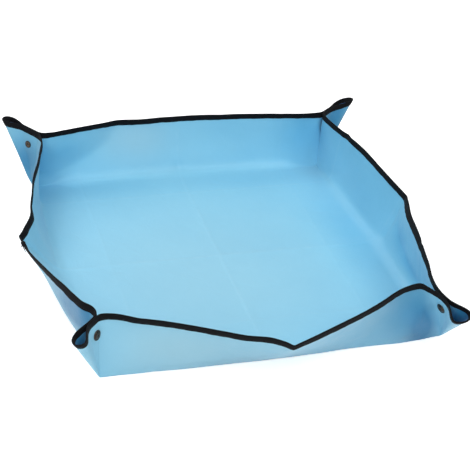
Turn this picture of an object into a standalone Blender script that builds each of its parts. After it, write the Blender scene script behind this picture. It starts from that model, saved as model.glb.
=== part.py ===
"""Repotting mat: one square of coated cloth, bound with tape, whose corners snap together into a tray.

The cloth is worked out side by side. Along each side the crease runs from corner to corner of the
floor, the bound edge hangs over it at a lean that is least near the middle, and past the pinch the
cloth is a cone from the floor's corner to a teardrop loop, half of it on each of the two sides.
Each wall turns on its crease and each half of an ear turns on its wall's end. Metres, +Z up, the
floor's underside at zero.
"""

import math

import bmesh
import bpy
import numpy as np
from mathutils import Matrix, Vector

# Cloth
floor_side = 0.492
wall_width = 0.096
cloth_thickness = 0.0008
fold_gap = 0.0003
ear_hinge_gap = 0.0007

# Binding tape, doubled over the edge
binding_width = 0.0088
tape_thickness = 0.0005
binding_clearance = 0.0003
tape_hinge_gap = 0.0018
lap_length = 0.012
lap_place = 0.024

# Floor corners, as shares of half the floor's side
corner_shares = {
    "front_left": (-0.99, -1.01),
    "front_right": (1.05, -0.99),
    "back_right": (0.98, 0.98),
    "back_left": (-1.01, 0.965),
}
# From each floor corner to the middle of its pinch, and to the tip of its ear, as shares of the wall's width
pinch_shares = {
    "front_left": (-0.025, 0.19, 0.96),
    "front_right": (-0.27, -0.13, 0.94),
    "back_right": (0.055, 0.23, 0.95),
    "back_left": (0.10, 0.09, 0.985),
}
tip_shares = {
    "front_left": (-0.41, -0.43, 0.95),
    "front_right": (-0.105, -0.76, 0.84),
    "back_right": (0.73, 0.53, 1.04),
    "back_left": (-0.42, 0.64, 1.02),
}
# Half the width of each ear's open loop as a share of the wall's width, and how far the ear bows
# sideways on its way out as a share of its length
loop_half_shares = {
    "front_left": 0.080,
    "front_right": 0.130,
    "back_right": 0.100,
    "back_left": 0.100,
}
bow_shares = {"front_left": 0.22, "front_right": -0.08, "back_right": -0.15, "back_left": 0.08}
loop_swell_power = 1.5

# Sides, counter-clockwise from above: the corners they run between and their shape.
# Leans are degrees up from the table, at the first corner, at the fold near the middle and at the
# last corner. The fold's place and the bulge, which is how far the crease swings out past the
# straight line between the corners, are shares of half the floor's side. The two powers say how
# the lean grows from the fold towards the first and the last corner.
sides = {
    "front": dict(
        corners=("front_left", "front_right"), outward=(0, -1),
        lean_degrees=(96, 49, 100), fold_share=0.0, lean_power=(1.0, 1.05), bulge_share=0.0276,
    ),
    "right": dict(
        corners=("front_right", "back_right"), outward=(1, 0),
        lean_degrees=(106, 68, 90), fold_share=-0.035, lean_power=(0.85, 1.0), bulge_share=0.0122,
    ),
    "back": dict(
        corners=("back_right", "back_left"), outward=(0, 1),
        lean_degrees=(86, 68, 90), fold_share=-0.08, lean_power=(1.1, 1.3), bulge_share=0.0285,
    ),
    "left": dict(
        corners=("back_left", "front_left"), outward=(-1, 0),
        lean_degrees=(97, 49, 90), fold_share=0.0, lean_power=(0.65, 1.3), bulge_share=0.0130,
    ),
}
belly_share = 0.06
pinch_reach_share = 0.20

# Ring-spring snaps: how far under the bound edge they sit, and how far the cap stays off the
# pinch as a share of the wall's width
snap_drop = 0.0255
snap_margin_shares = {
    "front_left": 0.012,
    "front_right": 0.012,
    "back_right": 0.027,
    "back_left": 0.120,
}
snap_cap_radius = 0.0075
snap_cap_height = 0.0022
snap_rim = 0.0008
snap_post_radius = 0.0018
snap_socket_radius = 0.0060
snap_socket_height = 0.0024
snap_socket_bore = 0.0026
snap_lip = 0.0004
snap_stud_radius = 0.0055
snap_flange = 0.0007
snap_knob_radius = 0.0022
snap_knob_reach = 0.0012
snap_eyelet_radius = 0.0058
snap_eyelet_height = 0.0009
snap_clearance = 0.0003
snap_tilt_room = 0.0004

# Mesh counts
wall_cells = 22
ear_cells = 8
row_cells = 5
turn_steps = 20
ear_start_share = 0.12
tip_probe_share = 0.99
snap_probe_share = 0.01
cloth_sharp_degrees = 40
metal_sharp_degrees = 35

half_floor = floor_side / 2
half_cloth = cloth_thickness / 2
wall_seat = fold_gap + half_cloth
binding_inner = half_cloth + binding_clearance
binding_outer = binding_inner + tape_thickness
merge_distance = tape_thickness / 1000


def material(name, colour, roughness, metallic):
    """A Principled finish with one colour."""
    made = bpy.data.materials.new(name)
    made.use_nodes = True
    shader = made.node_tree.nodes["Principled BSDF"]
    shader.inputs["Base Color"].default_value = (*colour, 1)
    shader.inputs["Roughness"].default_value = roughness
    shader.inputs["Metallic"].default_value = metallic
    made.diffuse_color = (*colour, 1)
    return made


def unit(vectors):
    """Each vector divided by its own length."""
    return vectors / np.linalg.norm(vectors, axis=-1, keepdims=True)


def corner_at(corner):
    """The floor's corner on the table."""
    return np.array([*corner_shares[corner], 0]) * half_floor


def seat_corner(side, corner):
    """Where this side's cloth starts at the corner: half a thickness up, just outside the floor."""
    outward = np.array([*sides[side]["outward"], 0])
    return corner_at(corner) + outward * wall_seat + np.array([0, 0, half_cloth])


def ear_points(corner):
    """The floor's corner, the middle of the pinch and the tip of the ear."""
    foot = corner_at(corner)
    pinch = foot + np.array(pinch_shares[corner]) * wall_width
    tip = foot + np.array(tip_shares[corner]) * wall_width
    return foot, pinch, tip


def snap_share(corner, past_axis):
    """How far out the ear's ray through the snap's axis meets the edge, as a share of the edge.

    past_axis moves the ray outwards by that length at the snap's height.
    """
    pinch, tip = ear_points(corner)[1:]
    out = snap_cap_radius + snap_margin_shares[corner] * wall_width + past_axis
    return out / (snap_rise() * np.linalg.norm(tip - pinch))


def flat_share(corner):
    """How far out the cloth stays flat for the snap, as a share of the ear's edge."""
    return snap_share(corner, snap_cap_radius)


def snap_rise():
    """How far up from the floor's corner the snaps sit, as a share of the wall's width."""
    return (wall_width - snap_drop) / wall_width


def ear_middle(corner, out):
    """The line midway between the ear's two edges, and the direction square to the ear along it.

    It runs straight past the snap, then curls back on a parabola to the tip.
    """
    foot, pinch, tip = ear_points(corner)
    run = tip - pinch
    stand = pinch - foot
    across = unit(np.cross(run, stand))
    bow = across * bow_shares[corner] * np.linalg.norm(run)
    flat = flat_share(corner)
    past = (np.clip((out - flat) / (1 - flat), 0, 1))[:, None]
    line = pinch + run * out[:, None] + bow * (out[:, None] - past**2)
    heading = run + bow * (1 - 2 * past / (1 - flat))
    return line, unit(np.cross(heading, stand))


def half_spacing(corner, w):
    """Distance of the ear's bound edge from its middle: steady past the snap, then a teardrop.

    w runs from 0 at the pinch to 1 at the tip and the share of the way out is 1 - (1 - w)^2, so
    that the edge comes round square to the middle and the tip is round.
    """
    flat = flat_share(corner)
    stack = snap_socket_height + snap_flange + cloth_thickness + snap_clearance * 3 + snap_tilt_room
    apex = wall_seat * math.sqrt(0.5)
    root = (stack / 2 - (1 - snap_rise()) * apex) / snap_rise()
    past = np.clip((1 - (1 - w) ** 2 - flat) / (1 - flat), 0, 1)
    crest = loop_swell_power / (loop_swell_power + 0.5)
    peak = crest**loop_swell_power * math.sqrt((1 - crest) * (1 - flat))
    swell = loop_half_shares[corner] * wall_width * past**loop_swell_power * (1 - w) / peak
    return root * (1 - w**4) + swell


def ear_columns(corner):
    """Columns of half an ear from pinch to tip: one flat cell under the snap, then even steps.

    The last stops half a fold gap short of the middle.
    """
    first = 1 - math.sqrt(1 - flat_share(corner))
    near_tip = np.array(tip_probe_share)
    last = 1 - (1 - near_tip) * fold_gap / (2 * half_spacing(corner, near_tip))
    return np.linspace(first, last, ear_cells)


def ear_edge(corner, w, toward):
    """The bound edge of half an ear: its middle line, pushed off sideways.

    toward is 1 for the half on the side that ends at this corner and -1 for the side that starts there.
    """
    line, across = ear_middle(corner, 1 - (1 - w) ** 2)
    return line + across * (toward * half_spacing(corner, w))[:, None]


def wall_lines(side, t):
    """Crease and bound edge of a wall for t from -1 to 1.

    The crease is a parabola over the line between the corners. The edge stands a wall's width off
    it at a lean that rises by a power of the distance from the fold, and near the ends it is eased
    over to the pinch.
    """
    shape = sides[side]
    first, last = shape["corners"]
    outward = np.array([*shape["outward"], 0])
    up = np.array([0, 0, 1])
    start, end = seat_corner(side, first), seat_corner(side, last)
    base = start + (end - start) * ((t + 1) / 2)[:, None]
    base = base + outward * (shape["bulge_share"] * half_floor * (1 - t**2))[:, None]
    fold = shape["fold_share"]
    lean_first, lean_fold, lean_last = shape["lean_degrees"]
    before = t < fold
    reach = np.where(before, (fold - t) / (fold + 1), (t - fold) / (1 - fold))
    far = np.where(before, lean_first, lean_last)
    power = np.where(before, *shape["lean_power"])
    lean = np.radians(lean_fold + (far - lean_fold) * reach**power)
    stand = wall_width * (np.cos(lean)[:, None] * outward + np.sin(lean)[:, None] * up)
    pinched_first = ear_edge(first, np.zeros(1), -1) - start
    pinched_last = ear_edge(last, np.zeros(1), 1) - end
    pinched = np.where(before[:, None], pinched_first, pinched_last)
    near_end = np.clip((np.abs(t) - 1) / pinch_reach_share + 1, 0, 1)[:, None]
    ease = near_end**2 * (3 - 2 * near_end)
    stand = stand + (pinched - stand) * ease
    belly = wall_width * belly_share * (1 - t**4)
    push = np.sin(lean)[:, None] * outward - np.cos(lean)[:, None] * up
    middle = base + stand / 2 + push * belly[:, None]
    return base, middle, base + stand


def side_surface(side, ear_w_first, t, ear_w_last, rows):
    """The side's middle surface from ear tip to ear tip, as (columns, rows, 3), and its outward normals.

    Across a column the surface is a quadratic curve from crease through the belly to the edge. The
    rows run up to where the binding starts, and one more row is the edge itself. At the tips the
    normals have no part across the ear, because the other half goes on from there.
    """
    first, last = sides[side]["corners"]
    base, middle, edge = wall_lines(side, t)
    edge_first = ear_edge(first, ear_w_first[::-1], -1)
    edge_last = ear_edge(last, ear_w_last, 1)
    base_first = np.repeat(base[:1], len(edge_first), axis=0)
    base_last = np.repeat(base[-1:], len(edge_last), axis=0)
    base = np.concatenate([base_first, base, base_last])
    middle = np.concatenate([(base_first + edge_first) / 2, middle, (base_last + edge_last) / 2])
    edge = np.concatenate([edge_first, edge, edge_last])
    bound = 1 - binding_width / np.linalg.norm(edge - base, axis=1)
    v = np.concatenate([rows[None, :] * bound[:, None], np.ones((len(bound), 1))], axis=1)[:, :, None]
    points = (1 - v) ** 2 * base[:, None] + 2 * v * (1 - v) * middle[:, None] + v**2 * edge[:, None]
    along = np.gradient(points, axis=0)
    across = np.gradient(points, axis=1)
    normals = np.cross(along, across)
    for column, corner, tip in ((0, first, ear_w_first), (-1, last, ear_w_last)):
        if len(tip):
            across = ear_middle(corner, np.ones(1))[1][0]
            normals[column] = normals[column] - normals[column].dot(across)[:, None] * across
    size = np.linalg.norm(normals, axis=-1, keepdims=True)
    return points, normals / np.maximum(size, np.finfo(float).tiny)


def grid_faces(columns, rows):
    """Quads of a grid whose points are numbered column by column."""
    i, j = np.meshgrid(np.arange(columns - 1), np.arange(rows - 1), indexing="ij")
    a = (i * rows + j).ravel()
    return np.stack([a, a + rows, a + rows + 1, a + 1], axis=1)


def sheet_solid(points, normals):
    """Vertices and faces of a grid given the cloth's thickness: outer face, inner face and four rims."""
    columns, rows = points.shape[:2]
    outer = (points + normals * half_cloth).reshape(-1, 3)
    inner = (points - normals * half_cloth).reshape(-1, 3)
    count = columns * rows
    faces = grid_faces(columns, rows)
    index = np.arange(count).reshape(columns, rows)
    rim = np.concatenate([index[:-1, 0], index[-1, :-1], index[:0:-1, -1], index[0, :0:-1]])
    after = np.roll(rim, -1)
    sides_of = np.stack([rim, rim + count, after + count, after], axis=1)
    return np.concatenate([outer, inner]), np.concatenate([faces, faces[:, ::-1] + count, sides_of])


def tape_solid(points, normals, inner, outer):
    """Vertices and faces of tape folded round the last two rows of a grid, as a U drawn along the edge."""
    low, edge = points[:, -2], points[:, -1]
    low_normal, edge_normal = normals[:, -2], normals[:, -1]
    away = unit(edge - low)
    inside = edge + away * (inner - half_cloth)
    outside = edge + away * (outer - half_cloth)
    ring = [
        outside + edge_normal * outer, low + low_normal * outer,
        low + low_normal * inner, inside + edge_normal * inner,
        inside - edge_normal * inner, low - low_normal * inner,
        low - low_normal * outer, outside - edge_normal * outer,
    ]
    ring = np.stack(ring, axis=1)
    stations, sides_of = ring.shape[:2]
    i, j = np.meshgrid(np.arange(stations - 1), np.arange(sides_of), indexing="ij")
    a = (i * sides_of + j).ravel()
    b = (i * sides_of + (j + 1) % sides_of).ravel()
    walls = np.stack([a, b, b + sides_of, a + sides_of], axis=1)
    cap = np.array([[0, 3, 2, 1], [0, 7, 4, 3], [7, 6, 5, 4]])
    last = (stations - 1) * sides_of
    return ring.reshape(-1, 3), np.concatenate([walls, cap, cap[:, ::-1] + last])


def pulled_back(points, column, neighbour, by):
    """The grid with one end column moved towards its neighbour, which opens the gap at a fold."""
    moved = points.copy()
    moved[column] += unit(points[neighbour] - points[column]) * by
    return moved


def body_empty(name, at, parent=None):
    """The empty that a body's pieces hang from, on the body's joint axis."""
    empty = bpy.data.objects.new(name, None)
    bpy.context.scene.collection.objects.link(empty)
    empty.location = Vector(at)
    empty["at"] = [float(x) for x in at]
    if parent:
        empty.parent = parent
        empty.location = Vector(at) - Vector(parent["at"])
    return empty


def mesh_piece(name, vertices, faces, body, finish):
    """An object from points in the world, stored about its body's empty."""
    mesh = bpy.data.meshes.new(name)
    local = np.asarray(vertices) - np.array(body["at"])
    mesh.from_pydata(local.tolist(), [], np.asarray(faces).tolist())
    mesh.validate()
    piece = bpy.data.objects.new(name, mesh)
    bpy.context.scene.collection.objects.link(piece)
    piece.parent = body
    work = bmesh.new()
    work.from_mesh(mesh)
    bmesh.ops.triangulate(work, faces=work.faces[:])
    bmesh.ops.recalc_face_normals(work, faces=work.faces[:])
    work.to_mesh(mesh)
    work.free()
    mesh.shade_smooth()
    mesh.set_sharp_from_angle(angle=math.radians(cloth_sharp_degrees))
    mesh.materials.append(finish)
    return piece


def turned_piece(name, profile, seat, body, finish):
    """A solid turned about its seat's Z from a closed outline of (radius, height) points."""
    work = bmesh.new()
    ring = [work.verts.new((radius, 0, height)) for radius, height in profile]
    edges = [work.edges.new((ring[i], ring[(i + 1) % len(ring)])) for i in range(len(ring))]
    bmesh.ops.spin(
        work, geom=ring + edges, axis=(0, 0, 1), cent=(0, 0, 0),
        angle=math.tau, steps=turn_steps, use_merge=True,
    )
    bmesh.ops.remove_doubles(work, verts=work.verts[:], dist=merge_distance)
    bmesh.ops.dissolve_degenerate(work, dist=merge_distance, edges=work.edges[:])
    bmesh.ops.recalc_face_normals(work, faces=work.faces[:])
    mesh = bpy.data.meshes.new(name)
    work.to_mesh(mesh)
    work.free()
    mesh.shade_smooth()
    mesh.set_sharp_from_angle(angle=math.radians(metal_sharp_degrees))
    mesh.materials.append(finish)
    piece = bpy.data.objects.new(name, mesh)
    bpy.context.scene.collection.objects.link(piece)
    piece.parent = body
    piece.matrix_local = Matrix.Translation(-Vector(body["at"])) @ seat
    return piece


def floor_panel(body, finish):
    """The flat square that lies on the table, its outline the four creases."""
    t = np.linspace(-1, 1, wall_cells // 2 + 1)[:-1]
    outline = []
    for side in sides:
        base = wall_lines(side, t)[0]
        outward = np.array([*sides[side]["outward"], 0])
        outline.append((base - outward * wall_seat)[:, :2])
    outline = np.concatenate(outline)
    corners = np.arange(0, len(outline), len(t))
    starts = np.array([corner_at(sides[side]["corners"][0])[:2] for side in sides])
    outline[corners] = starts
    count = len(outline)
    low = np.concatenate([outline, np.zeros((count, 1))], axis=1)
    high = np.concatenate([outline, np.full((count, 1), cloth_thickness)], axis=1)
    ring = np.arange(count)
    after = np.roll(ring, -1)
    walls = [list(face) for face in np.stack([ring, after, after + count, ring + count], axis=1)]
    mesh = bpy.data.meshes.new("floor_panel")
    faces = walls + [list(ring[::-1]), list(ring + count)]
    mesh.from_pydata(np.concatenate([low, high]).tolist(), [], [list(map(int, f)) for f in faces])
    mesh.materials.append(finish)
    piece = bpy.data.objects.new("floor_panel", mesh)
    bpy.context.scene.collection.objects.link(piece)
    piece.parent = body
    return piece


def snap_seat(corner, toward):
    """The frame of a snap half on its ear half: origin on the cloth's middle, Z out of the outer face."""
    w = 1 - math.sqrt(1 - snap_share(corner, 0))
    side = next(name for name in sides if sides[name]["corners"][toward == 1] == corner)
    step = snap_probe_share
    apex = seat_corner(side, corner)
    near, here, far = ear_edge(corner, np.array([w - step, w, w + step]), toward) - apex
    normal = unit(np.cross(far - near, here)) * toward
    up = unit(here - normal * here.dot(normal))
    right = np.cross(up, normal)
    turn = Matrix(np.stack([right, up, normal], axis=1).tolist()).to_4x4()
    return Matrix.Translation(Vector(apex + here * snap_rise())) @ turn


def snap_hole(ear, seat):
    """The hole that the snap's post goes through, cut square to the cloth."""
    radius = snap_post_radius + snap_clearance
    work = bmesh.new()
    bmesh.ops.create_cone(
        work, cap_ends=True, segments=turn_steps, radius1=radius, radius2=radius,
        depth=cloth_thickness + 2 * snap_socket_height,
    )
    mesh = bpy.data.meshes.new(ear.name + "_hole")
    work.to_mesh(mesh)
    work.free()
    cutter = bpy.data.objects.new(ear.name + "_hole", mesh)
    bpy.context.scene.collection.objects.link(cutter)
    cutter.matrix_world = seat
    cutter.hide_render = True
    cutter.display_type = "WIRE"
    hole = ear.modifiers.new("snap_hole", "BOOLEAN")
    hole.operation = "DIFFERENCE"
    hole.solver = "EXACT"
    hole.object = cutter


def snap_cap(name, seat, body, finish):
    """The domed cap that shows outside, with the post that goes through the cloth into the socket."""
    low = half_cloth + snap_clearance
    top = low + snap_cap_height
    rim = snap_rim
    end = -(half_cloth + snap_clearance + snap_lip * 2)
    profile = [
        (0, end), (snap_post_radius, end), (snap_post_radius, low), (snap_cap_radius - rim, low),
        (snap_cap_radius, low + rim), (snap_cap_radius - rim / 2, low + rim * 1.6),
        (snap_cap_radius - 2 * rim, low + rim * 2), (snap_cap_radius / 2, top - rim / 4), (0, top),
    ]
    turned_piece(name, profile, seat, body, finish)


def snap_socket(name, seat, body, finish):
    """The ring on the inside of the same cloth, open to the knob, with a lip that hooks under it."""
    near = -(half_cloth + snap_clearance)
    far = near - snap_socket_height
    hole = snap_post_radius + snap_clearance
    bore = snap_socket_bore + snap_lip
    profile = [
        (hole, near), (snap_socket_radius, near), (snap_socket_radius, far + snap_rim),
        (snap_socket_radius - snap_rim, far), (snap_socket_bore, far),
        (snap_socket_bore, far + snap_lip), (bore, far + 2 * snap_lip),
        (bore, near - 2 * snap_lip), (hole, near - 2 * snap_lip),
    ]
    turned_piece(name, profile, seat, body, finish)


def snap_stud(name, seat, body, finish):
    """The flange and hollow knob on the other half of the ear, the knob standing into the socket."""
    near = -(half_cloth + snap_clearance)
    far = near - snap_flange
    top = far - snap_clearance - snap_knob_reach
    hole = snap_post_radius + snap_clearance / 3
    neck = snap_knob_radius - snap_lip / 4
    floor = far - snap_knob_reach / 2
    profile = [
        (hole, near), (snap_stud_radius, near), (snap_stud_radius, far), (neck, far),
        (snap_knob_radius, top + 2 * snap_lip), (snap_knob_radius - snap_lip, top), (0, top),
        (0, floor), (hole - snap_clearance, floor), (hole - snap_clearance, near + (far - near) / 2),
    ]
    turned_piece(name, profile, seat, body, finish)


def snap_eyelet(name, seat, body, finish):
    """The flat eyelet that shows outside the other half, with the shank that holds the stud."""
    low = half_cloth + snap_clearance
    top = low + snap_eyelet_height
    shank = snap_post_radius - snap_clearance
    end = -(half_cloth + snap_clearance + snap_flange)
    profile = [
        (0, end), (shank, end), (shank, low), (snap_eyelet_radius, low),
        (snap_eyelet_radius, top - snap_rim / 2), (snap_eyelet_radius - snap_rim / 2, top),
        (snap_post_radius + snap_rim, top), (snap_post_radius, top - snap_rim / 2),
        (0, top - snap_rim / 2),
    ]
    turned_piece(name, profile, seat, body, finish)


def hinge_point(side):
    """A point on the wall's fold line, at the outermost of the crease."""
    first, last = sides[side]["corners"]
    outward = np.array([*sides[side]["outward"], 0])
    middle = (seat_corner(side, first) + seat_corner(side, last)) / 2
    return middle + outward * sides[side]["bulge_share"] * half_floor


def other_end(side, corner):
    """The name of an end of a side: what its corner is called beside the side's own name."""
    return corner.replace(side, "").strip("_")


def side_pieces(side, floor_body, cloth, tape):
    """One wall, the ear halves at its two ends and the tape on them, each on its own body."""
    first, last = sides[side]["corners"]
    w_first, w_last = ear_columns(first), ear_columns(last)
    t = np.linspace(-1, 1, wall_cells + 1)
    rows = np.linspace(0, 1, row_cells + 1)
    points, normals = side_surface(side, w_first, t, w_last, rows)
    ear_rows = np.linspace(ear_start_share, 1, row_cells + 1)
    ear_points, ear_normals = side_surface(side, w_first, t, w_last, ear_rows)

    wall = body_empty(side + "_wall_body", hinge_point(side), floor_body)
    span = slice(ear_cells, ear_cells + wall_cells + 1)
    for piece, gap, shape in (("wall", ear_hinge_gap, sheet_solid), ("binding", tape_hinge_gap, tape_solid)):
        grid = pulled_back(pulled_back(points[span], 0, 1, gap / 2), -1, -2, gap / 2)
        if piece == "wall":
            mesh_piece(side + "_wall", *shape(grid, normals[span]), wall, cloth)
        else:
            made = shape(grid, normals[span], binding_inner, binding_outer)
            mesh_piece(side + "_binding", *made, wall, tape)

    bodies = {}
    for corner, toward, span, fold in (
        (first, -1, slice(0, ear_cells + 1), -1),
        (last, 1, slice(ear_cells + wall_cells, None), 0),
    ):
        end = other_end(side, corner)
        seat = seat_corner(side, corner)
        name = f"{side}_wall_{end}_ear"
        body = body_empty(name + "_body", seat, wall)
        neighbour = -2 if fold == -1 else 1
        grid = pulled_back(ear_points[span], fold, neighbour, ear_hinge_gap / 2)
        ear = mesh_piece(name, *sheet_solid(grid, ear_normals[span]), body, cloth)
        grid = pulled_back(ear_points[span], fold, neighbour, tape_hinge_gap / 2)
        made = tape_solid(grid, ear_normals[span], binding_inner, binding_outer)
        mesh_piece(f"{side}_binding_{end}_ear", *made, body, tape)
        snap_hole(ear, snap_seat(corner, toward))
        bodies[corner, toward] = body
    return wall, bodies


def binding_lap(wall, tape):
    """The last of the tape, lapped over its own start beside the fold of the left edge."""
    side = "left"
    fold = sides[side]["fold_share"]
    t = fold + (lap_place + lap_length * np.array([-0.5, 0, 0.5])) / half_floor
    fine = np.concatenate([[-1], t, [1]])
    rows = np.array([0, 1])
    none = np.zeros(0)
    points, normals = side_surface(side, none, fine, none, rows)
    inner = binding_outer + binding_clearance
    made = tape_solid(points[1:-1], normals[1:-1], inner, inner + tape_thickness)
    mesh_piece("binding_lap", *made, wall, tape)


def snaps(bodies, metal):
    """Four snaps: cap and socket on one half of each ear, stud and eyelet on the other half."""
    cap_toward = {"front_left": -1, "front_right": 1, "back_right": -1, "back_left": 1}
    for corner, toward in cap_toward.items():
        seat = snap_seat(corner, toward)
        snap_cap(f"snap_cap_{corner}", seat, bodies[corner, toward], metal)
        snap_socket(f"snap_socket_{corner}", seat, bodies[corner, toward], metal)
        seat = snap_seat(corner, -toward)
        snap_stud(f"snap_stud_{corner}", seat, bodies[corner, -toward], metal)
        snap_eyelet(f"snap_eyelet_{corner}", seat, bodies[corner, -toward], metal)


def main():
    for old in list(bpy.data.objects):
        bpy.data.objects.remove(old, do_unlink=True)
    cloth = material("sky_blue_coated_cloth", (0.27, 0.60, 0.80), 0.5, 0.0)
    tape = material("black_binding_tape", (0.010, 0.009, 0.010), 0.85, 0.0)
    metal = material("dark_brass", (0.20, 0.16, 0.11), 0.35, 1.0)
    floor_body = body_empty("floor_body", (0, 0, 0))
    floor_panel(floor_body, cloth)
    bodies = {}
    for side in sides:
        wall, ears = side_pieces(side, floor_body, cloth, tape)
        bodies.update(ears)
        if side == "left":
            binding_lap(wall, tape)
    snaps(bodies, metal)


main()
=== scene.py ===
"""Looks of the repotting mat: coated cloth with packing creases, bound and stitched edges, snapped corners.

The cloth is worked out side by side as one fine grid from ear tip to ear tip and from the floor up to
the bound edge. The grid is then cut into the pieces that move with each body. Metres, +Z up.
"""

import math

import bpy
import numpy as np
from mathutils import Matrix, Vector


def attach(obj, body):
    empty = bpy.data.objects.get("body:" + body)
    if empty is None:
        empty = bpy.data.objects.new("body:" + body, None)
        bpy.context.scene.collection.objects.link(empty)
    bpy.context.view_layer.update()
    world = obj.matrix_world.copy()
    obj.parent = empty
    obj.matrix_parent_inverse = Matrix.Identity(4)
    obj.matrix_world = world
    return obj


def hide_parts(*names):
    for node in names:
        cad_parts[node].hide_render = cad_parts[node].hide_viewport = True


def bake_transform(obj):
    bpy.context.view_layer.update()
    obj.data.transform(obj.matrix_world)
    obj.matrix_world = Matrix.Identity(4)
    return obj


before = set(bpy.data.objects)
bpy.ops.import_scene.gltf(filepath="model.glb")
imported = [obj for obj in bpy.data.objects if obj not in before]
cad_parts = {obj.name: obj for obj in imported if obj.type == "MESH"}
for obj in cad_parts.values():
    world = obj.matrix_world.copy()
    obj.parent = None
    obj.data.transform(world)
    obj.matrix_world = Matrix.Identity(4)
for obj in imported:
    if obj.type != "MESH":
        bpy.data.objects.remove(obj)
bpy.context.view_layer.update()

# Sheet
floor_side = 0.492
wall_width = 0.096
cloth_thickness = 0.0008
half_cloth = cloth_thickness / 2
half_floor = floor_side / 2
wall_seat = 0.0007
strip_width = 0.008

# Tape
binding_width = 0.0088
tape_half = 0.0012
# Where the lapped end lies, as distances past the left side's fold
lap_start, lap_end = 0.018, 0.030

# Floor corners as shares of half the floor's side; pinches and ear tips as shares of the wall's width
corner_shares = {
    "front_left": (-0.99, -1.01),
    "front_right": (1.05, -0.99),
    "back_right": (0.98, 0.98),
    "back_left": (-1.01, 0.965),
}
pinch_shares = {
    "front_left": (-0.025, 0.19, 0.96),
    "front_right": (-0.27, -0.13, 0.94),
    "back_right": (0.055, 0.23, 0.95),
    "back_left": (0.1, 0.09, 0.985),
}
tip_shares = {
    "front_left": (-0.41, -0.43, 0.95),
    "front_right": (-0.105, -0.76, 0.84),
    "back_right": (0.73, 0.53, 1.04),
    "back_left": (-0.42, 0.64, 1.02),
}
loop_half_shares = {"front_left": 0.08, "front_right": 0.13, "back_right": 0.1, "back_left": 0.1}
bow_shares = {"front_left": 0.22, "front_right": -0.08, "back_right": -0.15, "back_left": 0.08}
loop_swell_power = 1.5
sides = {
    "front": dict(
        corners=("front_left", "front_right"), outward=(0, -1),
        lean_degrees=(96, 49, 100), fold_share=-0.028, lean_power=(1.0, 1.05), bulge_share=0.0276,
    ),
    "right": dict(
        corners=("front_right", "back_right"), outward=(1, 0),
        lean_degrees=(106, 68, 90), fold_share=-0.035, lean_power=(0.85, 1.0), bulge_share=0.0122,
    ),
    "back": dict(
        corners=("back_right", "back_left"), outward=(0, 1),
        lean_degrees=(86, 68, 90), fold_share=-0.08, lean_power=(1.1, 1.3), bulge_share=0.0285,
    ),
    "left": dict(
        corners=("back_left", "front_left"), outward=(-1, 0),
        lean_degrees=(97, 49, 90), fold_share=0.0, lean_power=(0.65, 1.3), bulge_share=0.013,
    ),
}
bend_radius = {"front": 0.0035, "right": 0.018, "back": 0.018, "left": 0.014}
ramp_height = {"front": 0.0, "right": 0.002, "back": 0.0025, "left": 0.001}
ramp_width = 0.055
# Where each rounded crease dies out, and over how much of its half length
crease_end, crease_taper = 0.965, 0.25
belly_share = 0.06
pinch_reach_share = 0.2

# Snaps
snap_drop = 0.0255
snap_rise = (wall_width - snap_drop) / wall_width
snap_margin_shares = {"front_left": 0.012, "front_right": 0.012, "back_right": 0.027, "back_left": 0.120}
snap_cap_radius = 0.0075
snap_stack = 0.0052
snap_swell_reach = 0.014
cap_halves = {"front_left": -1, "front_right": 1, "back_right": -1, "back_left": 1}

# Grid lines
wall_t = np.linspace(-1, 1, 161)
ear_w = np.concatenate([[0, 0.007, 0.014, 0.021], np.linspace(0.035, 1, 34)])
wall_rows = np.concatenate([np.linspace(0, 0.10, 13), np.linspace(0.13, 1, 30)])
edge_rows = 4
strip_rows = np.linspace(-1 / 6, 1, 8)[:-1]
ear_start_row = 3

upward = np.array([0, 0, 1.0])
hexagon = np.linspace(0, math.tau, 6, endpoint=False)


def unit(vectors):
    """Each vector divided by its own length."""
    return vectors / np.maximum(np.linalg.norm(vectors, axis=-1, keepdims=True), 1e-12)


def smooth(x):
    """3x^2 - 2x^3 between 0 and 1, and flat outside."""
    x = np.clip(x, 0, 1)
    return x * x * (3 - 2 * x)


def run_along(line):
    """How far along a line of points each of them lies."""
    return np.concatenate([[0], np.cumsum(np.linalg.norm(np.diff(line, axis=0), axis=1))])


def outward_of(side):
    """The level direction from the floor's middle to a side."""
    return np.array([*sides[side]["outward"], 0.0])


def side_at(corner, toward):
    """The side that ends at the corner (toward 1) or starts there (toward -1)."""
    return next(name for name in sides if sides[name]["corners"][toward == 1] == corner)


def both_outward(corner):
    """The outward directions of the two sides that meet at a corner, added up."""
    return outward_of(side_at(corner, 1)) + outward_of(side_at(corner, -1))


def floor_corner(corner):
    """The floor panel's own corner, on the ground."""
    return np.array([*corner_shares[corner], 0]) * half_floor


def corner_point(corner):
    """Where the creases of the two sides meet, at the cloth's middle."""
    return floor_corner(corner) + both_outward(corner) * wall_seat + upward * half_cloth


def ear_points(corner):
    """The floor's corner, the middle of the pinch and the tip of the ear."""
    foot = floor_corner(corner)
    return foot, foot + np.array(pinch_shares[corner]) * wall_width, foot + np.array(tip_shares[corner]) * wall_width


def snap_share(corner, past_axis):
    """How far out the ear's ray through the snap's axis meets the edge, as a share of the edge."""
    pinch, tip = ear_points(corner)[1:]
    out = snap_cap_radius + snap_margin_shares[corner] * wall_width + past_axis
    return out / (snap_rise * np.linalg.norm(tip - pinch))


def ear_middle(corner, out):
    """The line midway between the ear's two edges, straight past the snap and then curled on a
    parabola to the tip, and the direction square to the ear along it."""
    foot, pinch, tip = ear_points(corner)
    run, stand = tip - pinch, pinch - foot
    bow = unit(np.cross(run, stand)) * bow_shares[corner] * np.linalg.norm(run)
    flat = snap_share(corner, snap_cap_radius)
    past = np.clip((out - flat) / (1 - flat), 0, 1)[:, None]
    line = pinch + run * out[:, None] + bow * (out[:, None] - past**2)
    return line, unit(np.cross(run + bow * (1 - 2 * past / (1 - flat)), stand))


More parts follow.
